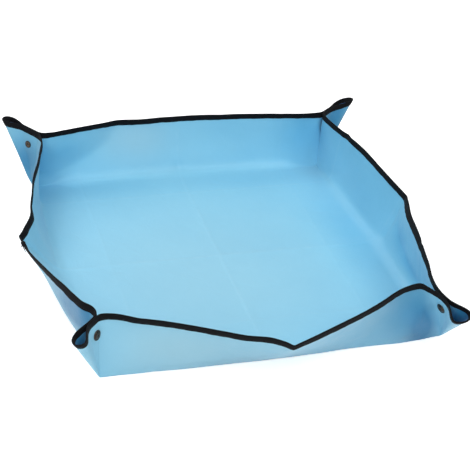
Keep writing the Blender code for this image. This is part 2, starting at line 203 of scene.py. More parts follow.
def half_spacing(corner, w, root):
    """Distance of the ear's bound edge from its middle: root by the pinch, then a teardrop that
    swells as past^1.5 (1 - w), where past is the share of the way from the snap to the tip."""
    flat = snap_share(corner, snap_cap_radius)
    past = np.clip((1 - (1 - w) ** 2 - flat) / (1 - flat), 0, 1)
    crest = loop_swell_power / (loop_swell_power + 0.5)
    peak = crest**loop_swell_power * math.sqrt((1 - crest) * (1 - flat))
    swell = loop_half_shares[corner] * wall_width * past**loop_swell_power * (1 - w) / peak
    return root * (1 - w**4) + swell


def ear_edge(corner, w, toward, root=tape_half + 0.0001):
    """The bound edge of half an ear: its middle line, pushed off sideways."""
    line, across = ear_middle(corner, 1 - (1 - w) ** 2)
    return line + across * (toward * half_spacing(corner, w, root))[:, None]


def wall_lines(side, t):
    """Crease and bound edge of a wall. The crease is a parabola over the line between the corners.
    The edge stands a wall's width off it at a lean that rises by a power of the distance from the
    fold near the middle, and close to the ends it is eased over to the pinch."""
    shape = sides[side]
    first, last = shape["corners"]
    outward = outward_of(side)
    start, end = corner_point(first), corner_point(last)
    base = start + (end - start) * ((t + 1) / 2)[:, None]
    base = base + outward * (shape["bulge_share"] * half_floor * (1 - t**2))[:, None]
    fold = shape["fold_share"]
    lean_first, lean_fold, lean_last = shape["lean_degrees"]
    before = t < fold
    reach = np.where(before, (fold - t) / (fold + 1), (t - fold) / (1 - fold))
    far = np.where(before, lean_first, lean_last)
    lean = np.radians(lean_fold + (far - lean_fold) * reach ** np.where(before, *shape["lean_power"]))
    stand = wall_width * (np.cos(lean)[:, None] * outward + np.sin(lean)[:, None] * upward)
    pinched_first = ear_edge(first, np.zeros(1), -1) - start
    pinched_last = ear_edge(last, np.zeros(1), 1) - end
    pinched = np.where(before[:, None], pinched_first, pinched_last)
    ease = smooth((np.abs(t) - 1) / pinch_reach_share + 1)[:, None]
    stand = stand + (pinched - stand) * ease
    belly = wall_width * belly_share * (1 - t**4)
    push = np.sin(lean)[:, None] * outward - np.cos(lean)[:, None] * upward
    return base, base + stand / 2 + push * belly[:, None], base + stand


def snap_seat(corner, toward):
    """The frame of a snap half on its ear half: origin on the cloth's middle, Z out of the outer face."""
    w = 1 - math.sqrt(1 - snap_share(corner, 0))
    outward = outward_of(side_at(corner, toward))
    apex = floor_corner(corner) + outward * wall_seat + upward * half_cloth
    root = (snap_stack / 2 - (1 - snap_rise) * wall_seat * math.sqrt(0.5)) / snap_rise
    near, here, far = ear_edge(corner, np.array([w - 0.01, w, w + 0.01]), toward, root) - apex
    normal = unit(np.cross(far - near, here)) * toward
    up = unit(here - normal * here.dot(normal))
    return apex + here * snap_rise, np.cross(up, normal), up, normal


def bell(x, y, spot):
    """size e^(-(dx/rx)^2 - (dy/ry)^2) about a spot of the flat sheet."""
    cx, cy, rx, ry, size = spot
    return size * np.exp(-(((x - cx) / rx) ** 2) - ((y - cy) / ry) ** 2)


def fold_height(x, y, line, size, reach, tip):
    """A crease along a line of points: size e^(-(sqrt(d^2 + tip^2) - tip)/reach) at a distance d from
    the nearest of its stretches, with its top rounded over tip."""
    line = np.array(line)
    nearest = np.full(x.shape, 9.0)
    for (ax, ay), (bx, by) in zip(line[:-1], line[1:]):
        run = math.hypot(bx - ax, by - ay)
        ux, uy = (bx - ax) / run, (by - ay) / run
        share = np.clip((x - ax) * ux + (y - ay) * uy, 0, run)
        nearest = np.minimum(nearest, np.hypot(x - ax - share * ux, y - ay - share * uy))
    return size * np.exp(-(np.sqrt(nearest**2 + tip**2) - tip) / reach)


def relief(x, y):
    """Height of the creases and waves of the cloth at a place on the flat sheet: packing creases and
    folds that fall off to both sides, low swells, and waves that are a few sines."""
    height = np.zeros_like(x)
    for line, size, reach in packing_creases:
        fade = 0.75 + 0.25 * np.sin(31 * x + 27 * y + 40 * size)
        height += fold_height(x, y, line, size, reach, crease_tip) * fade
    for line, size, reach in corner_folds:
        height += fold_height(x, y, line, size, reach, fold_tip_share * reach)
    for spot in swells:
        height += bell(x, y, spot)
    for kx, ky, phase, size in cloth_waves:
        height += size * np.sin(kx * x + ky * y + phase)
    return height


def relief_of(flat):
    """The relief at places on the flat sheet, dying out towards the floor's corners."""
    return relief(flat[..., 0], flat[..., 1]) * smooth(corner_distance(flat) / corner_calm)


def painted_light_and_shade(x, y):
    """How much paler (painted light, above 0) or deeper (painted shade, below 0) the cloth is painted at a place on
    the flat sheet.
    """
    return sum((bell(x, y, spot) for spot in painted_light_and_shade_spots), np.zeros_like(x))


# How wide the tops of the creases are rounded, the folds' as a share of their reach, and how far from
# the floor's corners the relief has its full height
crease_tip, fold_tip_share, corner_calm = 0.0015, 0.45, 0.03
packing_creases = [
    ([(-0.033, 0.34), (-0.025, 0.305), (-0.013, 0.271), (0.002, 0.249), (-0.005, 0.15), (-0.003, 0.0),
      (0.0, -0.15), (0.001, -0.245), (-0.007, -0.345)], 0.0011, 0.008),
    ([(0.346, -0.01), (0.3, -0.017), (0.272, -0.016), (0.257, -0.01), (0.242, 0.006), (0.19, 0.003),
      (0.0, 0.0), (-0.2, 0.002), (-0.345, 0.0)], 0.001, 0.008),
    ([(-0.262, 0.179), (-0.217, 0.183), (-0.026, 0.187), (0.083, 0.18), (0.2, 0.188), (0.262, 0.19)],
     -0.0011, 0.012),
    ([(0.171, 0.345), (0.174, 0.0), (0.17, -0.345)], 0.0005, 0.008),
    ([(-0.172, 0.24), (-0.175, 0.0), (-0.171, -0.345)], 0.0005, 0.008),
    ([(-0.345, -0.166), (0.0, -0.164), (0.345, -0.168)], 0.0005, 0.008),
]
corner_folds = [
    ([(-0.262, 0.246), (-0.215, 0.256), (-0.166, 0.28), (-0.128, 0.306), (-0.108, 0.336)], -0.006, 0.02),
    ([(0.004, 0.247), (0.06, 0.2535), (0.125, 0.256)], -0.0014, 0.012),
    ([(-0.033, 0.338), (-0.013, 0.271), (-0.004, 0.258)], -0.0024, 0.01),
    ([(0.241, 0.236), (0.215, 0.262), (0.196, 0.3)], 0.001, 0.01),
    ([(0.3, -0.03), (0.291, -0.06), (0.281, -0.11), (0.279, -0.15), (0.268, -0.205)], -0.0032, 0.014),
    ([(0.256, -0.245), (0.222, -0.262), (0.19, -0.27)], -0.001, 0.012),
    ([(-0.246, -0.25), (-0.225, -0.285), (-0.19, -0.318)], 0.0008, 0.012),
    ([(0.255, 0.215), (0.272, 0.17), (0.276, 0.11)], -0.001, 0.012),
]
swells = [
    (0.2, -0.285, 0.04, 0.034, -0.008), (-0.2, 0.308, 0.04, 0.022, 0.0036),
    (0.272, -0.013, 0.01, 0.01, -0.0018), (-0.002, 0.257, 0.009, 0.009, -0.0018),
    (0.3, 0.08, 0.03, 0.06, 0.002), (0.06, 0.3, 0.06, 0.026, -0.002),
    (-0.12, -0.3, 0.06, 0.03, 0.0018), (-0.286, -0.14, 0.036, 0.085, -0.008),
]
# Shading painted on, because the lamps alone don't give the photo's. The real coating is even
painted_light_and_shade_spots = [
    (-0.07, -0.08, 0.23, 0.23, 0.26), (-0.075, 0.312, 0.06, 0.04, 0.4), (-0.15, -0.3, 0.1, 0.06, 0.35),
    (0.226, -0.266, 0.026, 0.034, -1.0), (0.196, -0.31, 0.056, 0.055, -0.85), (0.1, -0.29, 0.06, 0.06, -0.22),
    (-0.295, 0.13, 0.04, 0.1, -0.24), (0.215, 0.312, 0.046, 0.046, -0.42), (-0.288, 0.262, 0.048, 0.044, -0.9),
    (0.325, 0.28, 0.05, 0.045, -1.0), (-0.325, -0.205, 0.032, 0.04, -1.0), (-0.312, -0.16, 0.035, 0.06, -0.75),
    (-0.13, 0.217, 0.13, 0.026, -0.16), (0.12, 0.213, 0.11, 0.024, -0.16), (0.3, -0.052, 0.016, 0.026, -0.4),
    (0.284, -0.11, 0.011, 0.05, -0.42), (0.318, 0.06, 0.05, 0.17, -0.24), (0.312, -0.15, 0.03, 0.06, -0.22),
    (0.225, 0.02, 0.05, 0.13, -0.36), (0.228, 0.22, 0.03, 0.026, 0.2), (-0.205, 0.308, 0.045, 0.032, -0.22),
]
# How much painted shade deepens the ears' inner faces, and how far out that is in full
ear_shade, ear_shade_reach = 1.75, 0.75
# Where the coating is rubbed along the packing creases: the axis it runs across, its place, slant and strength
worn_lines = [
    ("x", -0.003, 0.0, 1.0), ("x", 0.172, 0.004, 0.5), ("x", -0.173, -0.004, 0.5),
    ("y", 0.185, 0.008, 0.9), ("y", 0.001, 0.0, 0.9), ("y", -0.165, 0.004, 0.5),
]
cloth_waves = [
    (38, 11, 0.4, 0.00022), (-17, 44, 1.9, 0.0002), (71, -36, 3.1, 0.0001),
    (23, 83, 5.0, 0.00009), (-96, 58, 0.9, 0.00006), (120, 101, 2.2, 0.00004),
]

# How far the bound edge is turned outward about the tape's lower line, in degrees, at places along each side
edge_turns = {
    "front": (
        [-1, -0.95, -0.85, -0.7, -0.55, -0.4, -0.25, -0.1, 0.03, 0.25, 0.4, 0.55, 0.7, 0.85, 0.95, 1],
        [0, 16, 12, 8, 0, -8, -16, -20, -24, -18, -10, -5, 14, 15, 5, 0],
    ),
    "right": ([-1, -0.95, -0.85, -0.6, -0.5, -0.2, -0.1, 0, 0.9, 1], [0, 12, 20, 26, 42, 42, 15, -6, -6, 0]),
    "back": ([-1, -0.9, 0.9, 1], [0, -18, -18, 0]),
    "left": (
        [-1, -0.95, -0.85, -0.7, -0.55, -0.4, -0.25, -0.14, -0.03, 0.03, 0.1, 0.25, 0.38, 0.55, 0.7, 0.85, 0.95, 1],
        [0, 24, 14, 8, 0, -10, -14, 15, 15, -12, -16, -12, -10, -12, -26, -28, -14, 0],
    ),
}
# Small kinks of the edge: place along the side, reach, and how far out and up the edge moves
edge_kinks = {
    "front": [
        (-0.028, 0.03, 0.0, -0.0016), (-0.15, 0.09, 0.0, 0.0044), (0.7, 0.17, -0.007, 0.003),
        (-0.62, 0.2, -0.0008, 0.001),
    ],
    "right": [
        (0.72, 0.03, 0.0016, 0.0006), (0.55, 0.26, 0.004, 0.002), (-0.035, 0.02, 0.0004, -0.001),
        (-0.6, 0.02, -0.001, 0.0), (-0.3, 0.14, -0.003, 0.0),
    ],
    "back": [(0.35, 0.05, 0.0, 0.0006), (-0.3, 0.06, 0.0, -0.0005)],
    "left": [(-0.5, 0.14, 0.004, 0.0), (-0.13, 0.075, -0.0044, 0.0), (0.62, 0.05, 0.0, 0.0008)],
}
# Rounding of each pinch: spread of the averaging and how far it reaches
pinch_rounding = {
    "front_left": (0.007, 0.03), "front_right": (0.015, 0.06),
    "back_right": (0.006, 0.026), "back_left": (0.006, 0.026),
}


def inner_corner(corner):
    """The floor's corner, in by the strip's width both ways."""
    return corner_point(corner) - both_outward(corner) * strip_width


def corner_distance(flat):
    """Distance on the flat sheet to the nearest of the floor's corners."""
    return np.min([np.linalg.norm(flat - corner_point(c)[:2], axis=-1) for c in corner_shares], axis=0)


def softened(line, run, place, spread, reach):
    """A line averaged over a bell of the given spread along its run, wholly at the place and not at all
    beyond the reach from it."""
    weights = np.exp(-(((run[:, None] - run[None]) / spread) ** 2)) * np.gradient(run)[None]
    mean = weights @ line / weights.sum(axis=1, keepdims=True)
    share = smooth(1.25 * (1 - np.abs(run - place) / reach))[:, None]
    return line + (mean - line) * share


def crease_shift(side, t, a):
    """How far the cloth is moved at a distance a from the crease, on either side of it: rounded by
    (r - a)^2 / 4r towards the tray, and lifted by h (1 - a/width)^2. Both die out before the corners."""
    shape = np.shape(a)
    t, a = np.broadcast_to(t, shape).ravel(), np.ravel(a)
    inside = np.clip(t, -1, 1)
    base, middle, _ = wall_lines(side, inside)
    taper = smooth((crease_end - np.abs(inside)) / crease_taper)
    radius = np.maximum(bend_radius[side] * taper, 1e-6)
    near = np.maximum(a, 0)
    bend = (np.clip(radius - near, 0, None) ** 2 / (4 * radius))[:, None] * (unit(middle - base) - outward_of(side))
    lift = ramp_height[side] * taper * np.clip(1 - near / ramp_width, 0, 1) ** 2
    return (bend + lift[:, None] * upward).reshape(*shape, 3)


def crease_place(side, points):
    """Where points of the floor lie against a side's crease: share along it, and distance in from it."""
    first, last = sides[side]["corners"]
    start, end = corner_point(first), corner_point(last)
    t = 2 * ((points - start) @ (end - start)) / (end - start).dot(end - start) - 1
    line_t = np.linspace(-1, 1, 201)
    line = wall_lines(side, line_t)[0] @ outward_of(side)
    return t, np.interp(t, line_t, line) - points @ outward_of(side)


def turned_edge(wall, v, along, degrees):
    """Turns the rows past the tape's lower line outward about it by the given angle, and then moves each
    column by v^2 of the shift that puts its bound edge back."""
    low = wall[:, -1 - edge_rows]
    arm = wall[:, -1 - edge_rows :] - low[:, None]
    angle = np.radians(degrees)[:, None, None]
    axis = np.broadcast_to(along[:, None], arm.shape)
    held = axis * (arm * axis).sum(axis=2, keepdims=True)
    turned = arm * np.cos(angle) + np.cross(axis, arm) * np.sin(angle) + held * (1 - np.cos(angle))
    new = wall.copy()
    new[:, -1 - edge_rows :] = low[:, None] + turned
    return new + (wall[:, -1] - new[:, -1])[:, None] * v**2


def over_ears(line):
    """Values at a wall's columns, with the two end ones repeated for the ears' columns."""
    return np.pad(line, [(len(ear_w) - 1,) * 2] + [(0, 0)] * (line.ndim - 1), "edge")


def side_grid(side):
    """Middle surface of a side: points and flat places, as (columns, rows, ...).

    Columns run from one ear's tip over the wall to the other's. Rows run over the floor strip and
    then up each column's curve, a quadratic from crease through belly to edge, with one row where
    the tape's lower edge lies. The first row lies inside the floor and is there for the normals. The
    relief moves the points along the surface's normal, which leans over to straight up across the strip.
    """
    first, last = sides[side]["corners"]
    outward = outward_of(side)
    base, middle, edge = wall_lines(side, wall_t)
    w_first, w_last = ear_w[:0:-1], ear_w[1:]
    ears = len(w_first)
    wall_end = ears + len(wall_t) - 1
    halves = (first, -1, slice(0, ears), w_first), (last, 1, slice(wall_end + 1, None), w_last)
    edge = np.concatenate([ear_edge(first, w_first, -1), edge, ear_edge(last, w_last, 1)])
    base, t_all = over_ears(base), over_ears(wall_t)
    middle = np.concatenate([(base[:ears] + edge[:ears]) / 2, middle, (base[-ears:] + edge[-ears:]) / 2])

    run = run_along(edge)
    for place, corner in ((run[ears], first), (run[wall_end], last)):
        edge = softened(edge, run, place, *pinch_rounding[corner])
        middle = softened(middle, run, place, *np.array(pinch_rounding[corner]) / 2)
    for place, reach, out, up in edge_kinks[side]:
        kink = np.exp(-(((t_all - place) / reach) ** 2))[:, None] * (outward * out + upward * up)
        edge = edge + kink

    length = np.linalg.norm(edge - base, axis=1)
    bound = 1 - binding_width / length
    rest = np.linspace(0, 1, edge_rows + 1)[1:]
    v = np.concatenate([wall_rows * bound[:, None], bound[:, None] + (1 - bound)[:, None] * rest], axis=1)[:, :, None]
    wall = (1 - v) ** 2 * base[:, None] + 2 * v * (1 - v) * middle[:, None] + v**2 * edge[:, None]
    low_line = unit(np.gradient(wall[:, -1 - edge_rows], axis=0))
    wall = turned_edge(wall, v, low_line, np.interp(t_all, *edge_turns[side]) * (np.abs(t_all) < 1))

    inner_line = inner_corner(first) + (inner_corner(last) - inner_corner(first)) * ((wall_t + 1) / 2)[:, None]
    inner = over_ears(inner_line)
    strip = inner[:, None] + (base - inner)[:, None] * strip_rows[None, :, None]
    flat_strip = strip[:, :, :2]
    a_wall = v[:, :, 0] * length[:, None]
    wall = wall + crease_shift(side, t_all[:, None], a_wall)
    strip = strip + crease_shift(side, *crease_place(side, strip))

    along = unit(corner_point(last) - corner_point(first))
    flat_wall = base[:, None, :2] + outward[:2] * a_wall[:, :, None]
    for corner, sign, span, w in halves:
        angle = (1 - (1 - w) ** 2)[:, None] * math.pi / 4
        ray = np.cos(angle) * outward[:2] + sign * np.sin(angle) * along[:2]
        flat_wall[span] = corner_point(corner)[:2] + a_wall[span][:, :, None] * ray[:, None]
    points = np.concatenate([strip, wall], axis=1)
    flat = np.concatenate([flat_strip, flat_wall], axis=1)

    normals = grid_normals(points)
    crease = len(strip_rows)
    square_to_tips(normals, side)
    for _, _, span, _ in halves:
        normals[span, : crease + 1] = normals[span, crease + 1 : crease + 2]
    leaning = np.clip(strip_rows, 0, 1)[None, :, None]
    normals[:, :crease] = upward * (1 - leaning) + normals[:, crease : crease + 1] * leaning
    normals = unit(normals)

    ear_t = np.concatenate([w_first, np.zeros(len(wall_t)), w_last])[:, None]
    height = relief_of(flat) * (1 - 0.7 * smooth(ear_t * 4))
    points = points + normals * height[:, :, None]
    for corner, sign, _, _ in halves:
        place, _, _, out = snap_seat(corner, sign)
        near = np.exp(-((np.linalg.norm(points - place, axis=2) / snap_swell_reach) ** 4))
        points = points + out * (near * ((place - points) @ out))[:, :, None]
    points[:, :, 2] = np.maximum(points[:, :, 2], half_cloth)
    return points, flat, ears


def grid_normals(points):
    """Inward normals of a grid from its finite differences."""
    return unit(np.cross(np.gradient(points, axis=1), np.gradient(points, axis=0)))


def square_to_tips(normals, side):
    """Makes the normals at each ear's tip square to the ear's middle, where the other half goes on."""
    for column, corner in zip((0, -1), sides[side]["corners"]):
        across = ear_middle(corner, np.ones(1))[1][0]
        normals[column] -= normals[column].dot(across)[:, None] * across


def shaded_normals(points, side):
    """Normals of the finished grid."""
    normals = grid_normals(points)
    square_to_tips(normals, side)
    return unit(normals)


def grid_quads(columns, rows):
    """Quads of a grid whose points are numbered column by column."""
    i, j = np.meshgrid(np.arange(columns - 1), np.arange(rows - 1), indexing="ij")
    a = (i * rows + j).ravel()
    return np.stack([a, a + rows, a + rows + 1, a + 1], axis=1)


def ring_quads(count, around, closed=False):
    """Quads between rings of points, one ring after the other, each ring closed on itself."""
    i, j = np.meshgrid(np.arange(count if closed else count - 1), np.arange(around), indexing="ij")
    a = (i * around + j).ravel()
    b = (i * around + (j + 1) % around).ravel()
    step = around if not closed else around * count
    after_a = (a + around) % step if closed else a + around
    after_b = (b + around) % step if closed else b + around
    return np.stack([a, b, after_b, after_a], axis=1)


def uv_pairs(u, v):
    """Two arrays of coordinates as one list of pairs."""
    return np.stack(np.broadcast_arrays(u, v), axis=-1).reshape(-1, 2)


def mesh_object(name, points, faces, finish, uv, loop_normals=None, smooth_degrees=40):
    """A mesh object at the origin from arrays. uv is per point, and loop_normals per face corner."""
    mesh = bpy.data.meshes.new(name)
    mesh.from_pydata(np.asarray(points, float).tolist(), [], [list(map(int, face)) for face in faces])
    piece = bpy.data.objects.new(name, mesh)
    bpy.context.scene.collection.objects.link(piece)
    mesh.materials.append(finish)
    mesh.shade_smooth()
    ends = np.empty(len(mesh.loops), np.int32)
    mesh.loops.foreach_get("vertex_index", ends)
    layer = mesh.uv_layers.new(name="flat")
    layer.data.foreach_set("uv", np.asarray(uv, np.float32)[ends].ravel())
    if loop_normals is not None:
        mesh.normals_split_custom_set(loop_normals.tolist())
    else:
        mesh.set_sharp_from_angle(angle=math.radians(smooth_degrees))
    return piece


def cloth_piece(name, points, normals, flat, finish, shade=0.0):
    """A sheet with the cloth's thickness: the grid pushed half of it to each side, joined by a rim. The
    outer face carries the spots' painted light, and their painted shade is stored apart, as
    painted_outer_shade, because it is greyer. The inner face carries both, plus the shade, column by column."""
    columns, rows = points.shape[:2]
    n, p, uv = normals.reshape(-1, 3), points.reshape(-1, 3), flat.reshape(-1, 2)
    count = len(p)
    faces = grid_quads(columns, rows)
    index = np.arange(count).reshape(columns, rows)
    ring = np.concatenate([index[:-1, 0], index[-1, :-1], index[:0:-1, -1], index[0, :0:-1]])
    after = np.roll(ring, -1)
    inside, outside = p + n * half_cloth, p - n * half_cloth
    rim = np.stack([ring, ring + count, after + count, after], axis=1)
    facing = unit(np.cross(inside[ring] - outside[ring], outside[after] - outside[ring]))
    inner_faces = faces[:, ::-1]
    loops = np.concatenate([-n[faces.ravel()], n[inner_faces.ravel()], np.repeat(facing, 4, axis=0)])
    all_faces = np.concatenate([faces, inner_faces + count, rim])
    piece = mesh_object(name, np.concatenate([outside, inside]), all_faces, finish, np.concatenate([uv, uv]), loops)
    # Painted light (above 0) and painted shade (below 0) from the spots on the flat sheet
    here = painted_light_and_shade(uv[:, 0], uv[:, 1])
    inner = here + np.repeat(np.broadcast_to(shade, columns), rows)
    painted_outer_shade = np.maximum(-here, 0), np.zeros_like(inner)
    for attribute, values in (("painted_light_and_shade", (np.maximum(here, 0), inner)), ("painted_outer_shade", painted_outer_shade)):
        layer = piece.data.attributes.new(attribute, "FLOAT", "POINT")
        layer.data.foreach_set("value", np.concatenate(values).astype(np.float32))
    return piece


def floor_grid():
    """The floor inside the strips: a bilinear patch between the four inner corners, with one extra line
    all round for the normals, the rounding of each crease and the relief as its height. Columns run
    along Y and rows along X."""
    step = wall_t[1] - wall_t[0]
    t = np.concatenate([[-1 - step], wall_t, [1 + step]])
    b, a = ((t + 1) / 2)[:, None, None], ((t + 1) / 2)[None, :, None]
    fl, fr = inner_corner("front_left"), inner_corner("front_right")
    bl, br = inner_corner("back_left"), inner_corner("back_right")
    points = (1 - a) * (1 - b) * fl + a * (1 - b) * fr + (1 - a) * b * bl + a * b * br
    flat = points[:, :, :2].copy()
    shift = sum(crease_shift(side, *crease_place(side, points)) for side in sides)
    points = points + shift
    points[:, :, 2] = np.maximum(points[:, :, 2] + relief_of(flat), half_cloth)
    normals = grid_normals(points)
    return points[1:-1, 1:-1], normals[1:-1, 1:-1], flat[1:-1, 1:-1]


tape_profile = [
    (8.8, 0.5), (8.7, 0.84), (7.9, 0.96), (7.15, 0.92), (6.75, 0.76), (6.35, 0.92), (5.2, 1.1),
    (3.1, 1.2), (1.2, 1.22), (0.1, 1.15), (-0.7, 0.9), (-1.1, 0.48), (-1.22, 0.0),
]
tape_inside = [(8.7, -0.45), (4.2, -0.45), (-0.15, -0.45), (-0.15, 0.45), (4.2, 0.45), (8.7, 0.45)]
# Points of the profile with more height than this are on the tape's outside, and those with more
# inset than this form its lower side
outside_height, lower_inset = 0.00046, 0.006
stitch_inset = 0.00675
stitch_pitch = 0.0032
stitch_length = 0.0024
stitch_radius = 0.00026
stitch_lift, stitch_dive = 0.00086, 0.00022


def along_edge(grid, normals):
    """The rows under the tape from the bound edge down, their inward normals and the run along the edge."""
    rows, row_normals = grid[:, : -2 - edge_rows : -1], normals[:, : -2 - edge_rows : -1]
    return rows, row_normals, run_along(rows[:, 0])


def resampled(lines, run, wanted):
    """Lines of points or normals read off at other distances along their run."""
    flat_lines = lines.reshape(len(lines), -1)
    read = [np.interp(wanted, run, flat_lines[:, k]) for k in range(flat_lines.shape[1])]
    return np.stack(read, axis=1).reshape(len(wanted), *lines.shape[1:])


def on_tape(rows, row_normals, s, h):
    """Places s in from the edge and h off the cloth's middle: between the two rows that they lie
    between, or straight on past the edge."""
    place = s / binding_width * edge_rows
    row = np.clip(np.floor(place).astype(int), 0, edge_rows - 1)
    share = (place - row)[..., None]
    station = np.arange(len(rows))[:, None]
    near, far = rows[station, row], rows[station, row + 1]
    lean = np.clip(share, 0, 1)
    normal = unit(row_normals[station, row] * (1 - lean) + row_normals[station, row + 1] * lean)
    return near + (far - near) * share + normal * h[..., None]


def tape_piece(name, lines, finish, wide=1.0, proud=0.0, askew=0.0, past=0.0):
    """Tape folded round the edge: its U-shaped outline carried along the edge. The outside swells
    and its lower line wanders a little along the run, as sums of sines of it. Wide stretches the
    outline, proud lifts it off, askew slants its lower line and past carries its fold beyond the edge."""
    rows, row_normals, run = lines
    outline = np.array(tape_profile + [(s, -h) for s, h in tape_profile[-2::-1]] + tape_inside) / 1000
    outer = np.abs(outline[:, 1]) > outside_height
    lower, upper = outline[None, :, 0] > lower_inset, outline[None, :, 0] < lower_inset
    s = outline[None, :, 0] * wide + askew * ((run / run[-1])[:, None] - 0.5) * lower
    s = s - past * np.sin(math.pi * np.clip(run / run[-1], 0, 1))[:, None] * upper
    wander = 0.00020 * np.sin(run * 173) + 0.00013 * np.sin(run * 419 + 1.3)
    s = s + wander[:, None] * lower
    swell = 1 + 0.06 * np.sin(run * 1963.5) + 0.06 * np.sin(run * 307 + 0.7)
    h = outline[None, :, 1] * np.where(outer[None], swell[:, None], 1)
    h = h + np.sign(outline[None, :, 1]) * proud
    points = on_tape(rows, row_normals, s, h)
    count, around = points.shape[:2]
    uv = uv_pairs(run[:, None], run_along(outline)[None])
    faces = ring_quads(count, around)[:, ::-1].tolist()
    faces.append(list(range(around)))
    faces.append(list(range(count * around - 1, (count - 1) * around - 1, -1)))
    return mesh_object(name, points.reshape(-1, 3), faces, finish, uv)


def thread_end(name, path, finish):
    """A loose end of thread: six-sided, along a parabola through three points, thinning to its tip."""
    steps, thickest = 9, 0.0008
    share = np.linspace(0, 1, steps)[:, None]
    a, b, c = path
    line = (1 - share) ** 2 * a + 2 * share * (1 - share) * b + share**2 * c
    ahead = unit(np.gradient(line, axis=0))
    across = unit(np.cross(ahead, [0.3, 0.5, 0.8]))
    other = np.cross(ahead, across)
    thick = thickest * (1 - 0.7 * share**2)
    ring = across[:, None] * np.cos(hexagon)[:, None] + other[:, None] * np.sin(hexagon)[:, None]
    points = line[:, None] + ring * thick[:, None]
    uv = uv_pairs(share * 0.005, hexagon[None] / math.tau * 0.002)
    faces = ring_quads(steps, 6).tolist() + [list(range(5, -1, -1)), list(range(6 * steps - 6, 6 * steps))]
    return mesh_object(name, points.reshape(-1, 3), faces, finish, uv)


def stitch_row(name, lines, finish):
    """One row of stitches on each face of the tape. A stitch is a thin six-sided rod whose thickness
    follows sqrt(1.02 - x^2) and whose ends dive into the tape."""
    rows, row_normals, run = lines
    count = int((run[-1] - 0.001) // stitch_pitch)
    centres = (np.arange(count) + 0.5) * (run[-1] / count)
    x = np.linspace(-1, 1, 6)
    places = (centres[:, None] + x[None] * stitch_length / 2).ravel()
    rows, row_normals = resampled(rows, run, places), resampled(row_normals, run, places)
    thick = np.tile(stitch_radius * np.sqrt(np.clip(1.02 - x**2, 0, 1)), count)[:, None]
    made_points, made_faces, made_uv = [], [], []
    for face in (1, -1):
        s = stitch_inset + np.cos(hexagon)[None] * thick
        lift = np.tile(stitch_lift - stitch_dive * x**4, count)[:, None]
        h = face * (lift + np.sin(hexagon)[None] * thick)
        points = on_tape(rows, row_normals, s, h).reshape(count, len(x), 6, 3)
        block = ring_quads(len(x), 6)
        block = block if face == 1 else block[:, ::-1]
        cap = np.array([[0, 5, 4, 3], [0, 3, 2, 1]]) if face == 1 else np.array([[3, 4, 5, 0], [1, 2, 3, 0]])
        far = cap[:, ::-1] + (len(x) - 1) * 6
        one = np.concatenate([block, cap, far])
        offset = (np.arange(count) * len(x) * 6)[:, None, None] + sum(len(p) for p in made_points)
        made_faces.append((one[None] + offset).reshape(-1, 4))
        made_points.append(points.reshape(-1, 3))
        made_uv.append(uv_pairs(places.reshape(count, len(x), 1), hexagon / math.tau * 0.001))
    faces = np.concatenate(made_faces)[:, ::-1]
    uv = np.concatenate(made_uv)
    return mesh_object(name, np.concatenate(made_points), faces, finish, uv, smooth_degrees=60)


snap_profiles = {
    "cap": [
        (0.0, -1.9), (1.2, -1.9), (1.75, -1.8), (1.8, 0.44), (6.8, 0.44), (7.2, 0.52), (7.45, 0.8),
        (7.5, 1.15), (7.38, 1.5), (7.1, 1.76), (6.7, 1.86), (6.3, 1.78), (6.02, 1.58), (5.8, 1.48),
        (5.5, 1.5), (5.2, 1.66), (4.8, 1.9), (4.2, 2.18), (3.4, 2.44), (2.6, 2.58), (2.0, 2.58),
        (1.6, 2.48), (1.3, 2.3), (1.0, 2.14), (0.6, 2.06), (0.0, 2.04),
    ],
    "socket": [
        (2.1, -0.44), (5.6, -0.44), (5.88, -0.56), (6.0, -0.9), (6.0, -2.2), (5.86, -2.68), (5.5, -2.98),
        (5.0, -3.07), (4.5, -3.0), (4.2, -2.86), (3.9, -2.88), (3.5, -3.04), (3.05, -3.1), (2.72, -3.0),
        (2.6, -2.72), (2.72, -2.42), (3.0, -2.25), (3.0, -1.5), (2.8, -1.3), (2.2, -1.28), (2.1, -1.2),
    ],
    "stud": [
        (0.0, -2.88), (1.3, -2.87), (1.8, -2.76), (2.12, -2.5), (2.18, -2.2), (2.08, -1.8), (2.1, -1.56),
        (2.35, -1.42), (3.4, -1.4), (3.6, -1.32), (4.6, -1.32), (4.8, -1.4), (5.2, -1.34), (5.45, -1.12),
        (5.5, -0.8), (5.38, -0.54), (5.1, -0.44), (1.95, -0.44), (1.8, -0.6), (1.7, -1.4), (1.5, -2.1),
        (0.0, -2.2),
    ],
    "eyelet": [
        (0.0, -1.4), (1.3, -1.38), (1.45, -1.2), (1.5, 0.44), (5.4, 0.44), (5.68, 0.54), (5.8, 0.82),
        (5.74, 1.12), (5.5, 1.36), (5.1, 1.46), (4.6, 1.4), (4.1, 1.22), (3.5, 1.14), (2.9, 1.2),
        (2.4, 1.34), (2.0, 1.34), (1.76, 1.14), (1.6, 0.9), (1.0, 0.8), (0.0, 0.8),
    ],
}


